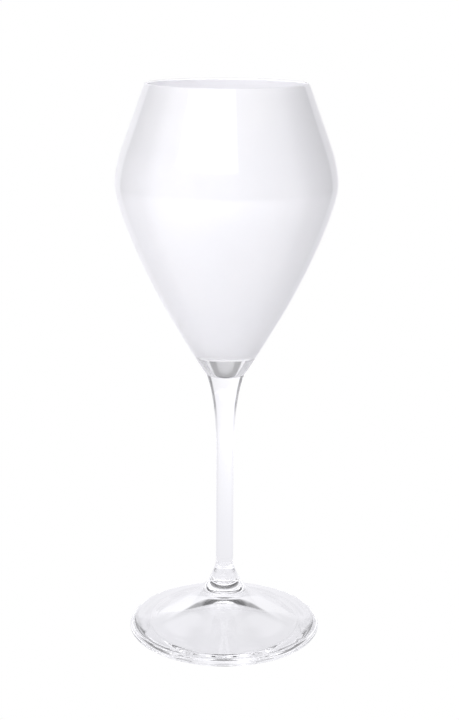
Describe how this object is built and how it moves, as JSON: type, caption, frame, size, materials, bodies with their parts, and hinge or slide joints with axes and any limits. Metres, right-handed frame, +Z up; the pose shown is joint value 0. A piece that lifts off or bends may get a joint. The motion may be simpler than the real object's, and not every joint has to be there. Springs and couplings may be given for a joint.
{
  "type": "wine glass",
  "caption": "Stemmed wine glass: tulip bowl of clear glass over a white opal lining, on a slender clear stem with a bell-shaped collar and a round foot that is domed underneath.",
  "frame": {"origin": "centre of the underside of the foot, on the glass's axis, in the plane of the table", "axes": "+Z up along the axis of the glass, from the foot to the rim; every piece is round about +Z, so X and Y are free"},
  "size_m": [0.0884, 0.0884, 0.23],
  "materials": {
    "clear_glass": "clear, fire polished",
    "opal_glass": "white opal glass, glossy"
  },
  "bodies": {
    "root": {"bowl": "clear_glass", "white_lining": "opal_glass", "stem": "clear_glass", "foot_collar": "clear_glass", "foot_disc": "clear_glass"}
  },
  "joints": []
}
